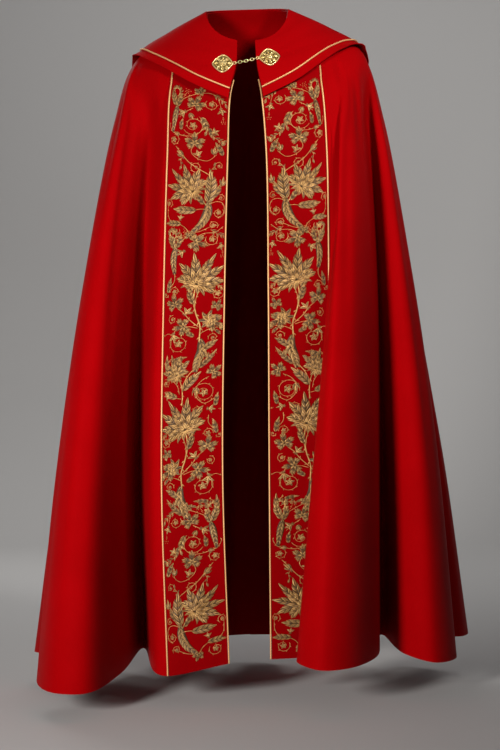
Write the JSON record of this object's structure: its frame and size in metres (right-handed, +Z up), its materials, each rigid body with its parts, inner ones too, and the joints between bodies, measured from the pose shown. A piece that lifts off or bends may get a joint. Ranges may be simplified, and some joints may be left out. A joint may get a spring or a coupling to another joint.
{
  "type": "cope vestment",
  "caption": "Floor-length open-fronted liturgical cloak, worn and hollow, with embroidered front bands, a round hood and a chained clasp.",
  "frame": {"origin": "middle of the neck opening, at the height where the neckline meets the sides of the neck", "axes": "+Z up, -Y the way the wearer faces, +X the wearer's left"},
  "size_m": [0.9543, 0.7341, 1.4224],
  "materials": {
    "red_cloth": "smooth wool satin with a soft sheen",
    "band_cloth": "smooth satin, embroidered with gold thread",
    "gold_piping": "twisted satin cord",
    "gold_thread": "metallic embroidery thread in satin stitch",
    "clasp_metal": "polished gold-plated casting"
  },
  "bodies": {
    "root": {"body_right": "red_cloth", "body_left": "red_cloth", "orphrey_right": "band_cloth", "orphrey_left": "band_cloth", "front_piping_right": "gold_piping", "front_piping_left": "gold_piping", "side_piping_right": "gold_piping", "side_piping_left": "gold_piping", "hood": "red_cloth", "hood_piping": "gold_piping", "clasp_plate_right": "clasp_metal", "clasp_plate_left": "clasp_metal", "chain_link_1": "clasp_metal", "chain_link_2": "clasp_metal", "chain_link_3": "clasp_metal", "chain_link_4": "clasp_metal", "chain_link_5": "clasp_metal", "chain_link_6": "clasp_metal", "chain_link_7": "clasp_metal"}
  },
  "joints": []
}
